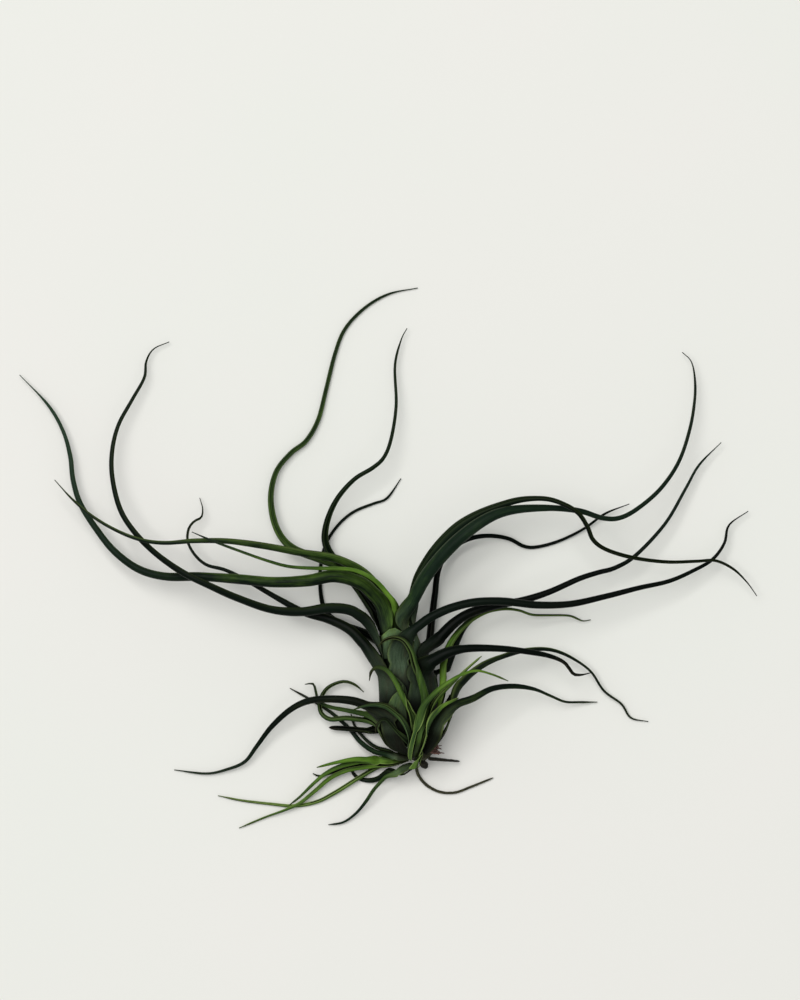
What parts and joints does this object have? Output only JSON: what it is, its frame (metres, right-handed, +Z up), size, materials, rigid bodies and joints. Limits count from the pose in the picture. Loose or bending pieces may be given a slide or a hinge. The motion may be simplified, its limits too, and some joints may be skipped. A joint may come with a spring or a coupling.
{
  "type": "air plant",
  "caption": "Bulbous air plant lying on its side: a clump of leaf-sheath bulbs on a short stem, with long rolled wavy leaves spreading out to fine tips and dry roots at the base.",
  "frame": {"origin": "on the surface the plant lies on, under the belly of the main bulb", "axes": "+X along the widest spread of the leaves, +Y from the stem towards the neck of the bulb, +Z up"},
  "size_m": [0.2459, 0.1806, 0.0277],
  "materials": {
    "leaf_green": "satin dark green with grey scurf",
    "leaf_lime": "satin lime green with pale margins",
    "leaf_dry": "matte dried brown",
    "stem_bark": "matte scaly brown",
    "root_dark": "matte near-black"
  },
  "bodies": {
    "root": {"cross_leaf_fine": "leaf_green", "cross_leaf_long": "leaf_green", "front_leaf_1_crossing": "leaf_lime", "front_leaf_2_pale": "leaf_lime", "front_leaf_3_channelled": "leaf_lime", "front_leaf_4_left": "leaf_green", "front_leaf_5_short": "leaf_lime", "front_leaf_6_cross_left": "leaf_green", "front_leaf_7_curl": "leaf_green", "leaf_01_long_left": "leaf_green", "leaf_02_arched_left": "leaf_green", "leaf_03_curled_left": "leaf_green", "leaf_04_upper_left": "leaf_green", "leaf_05_rising": "leaf_green", "leaf_06_low_right": "leaf_green", "leaf_07_dark_right": "leaf_green", "leaf_08_middle_right": "leaf_green", "leaf_09_hooked_right": "leaf_green", "leaf_10_fine_left": "leaf_green", "leaf_11_back_rising": "leaf_green", "leaf_12_under": "leaf_green", "leaf_13_outer_arch": "leaf_green", "leaf_14_inner_arch": "leaf_green", "leaf_15_lower_left": "leaf_green", "leaf_16_hook_left": "leaf_green", "leaf_17_short_right": "leaf_green", "leaf_18_curl_left": "leaf_green", "leaf_19_stub_left": "leaf_dry", "left_leaf_1_short": "leaf_lime", "left_leaf_2": "leaf_green", "left_leaf_3_long": "leaf_lime", "left_leaf_4_low": "leaf_green", "left_leaf_5_under": "leaf_green", "lower_leaf_1": "leaf_green", "lower_leaf_2_hook": "leaf_green", "root_bit_1": "root_dark", "root_bit_2": "root_dark", "root_hook": "root_dark", "root_spike": "root_dark", "root_stub": "root_dark", "side_leaf_1_long": "leaf_green", "side_leaf_2_low": "leaf_green", "side_leaf_3_lime": "leaf_lime", "side_scale": "leaf_dry", "stem_main": "stem_bark"}
  },
  "joints": []
}
